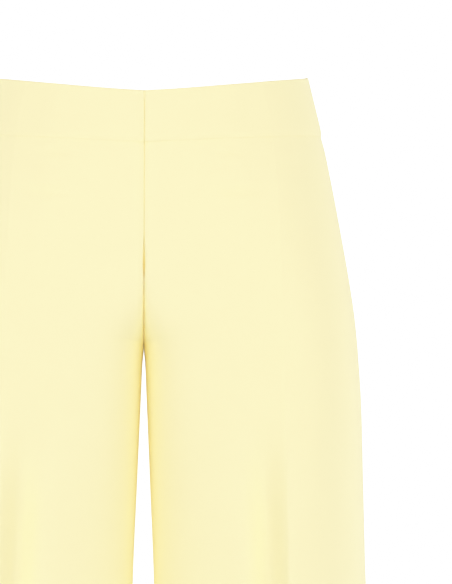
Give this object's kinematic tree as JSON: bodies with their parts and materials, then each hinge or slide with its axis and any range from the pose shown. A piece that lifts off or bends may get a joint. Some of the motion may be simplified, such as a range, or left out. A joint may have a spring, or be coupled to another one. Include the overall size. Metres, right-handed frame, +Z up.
{
  "type": "palazzo trousers",
  "caption": "High-waisted wide-leg trousers with a wide seamed waistband, a centre-front seam, pressed creases and a concealed back zip, as worn.",
  "frame": {"origin": "centre of the waist opening, level with the waistband's top edge at the side seams", "axes": "+Z up along the body, -Y to the wearer's front, +X to the wearer's left"},
  "size_m": [0.46, 0.2201, 1.04],
  "materials": {
    "cloth": "smooth matte crepe, pale butter yellow",
    "zip_tape": "woven tape, matched to the cloth",
    "zip_enamel": "satin enamel, matched to the cloth"
  },
  "bodies": {
    "trousers": {"front_left": "cloth", "front_right": "cloth", "back_left": "cloth", "back_right": "cloth", "waistband_front_left": "cloth", "waistband_front_right": "cloth", "waistband_back_left": "cloth", "waistband_back_right": "cloth", "zip_tape_left": "zip_tape", "zip_tape_right": "zip_tape", "zip_slider": "zip_enamel"},
    "pull": {"zip_pull": "zip_enamel"}
  },
  "joints": [
    {"name": "pull_swing", "type": "hinge", "parent": "trousers", "child": "pull", "pos_m": [0, 0.09368, -0.01088], "axis": [1, 0, 0], "range_deg": [0, 165]}
  ]
}
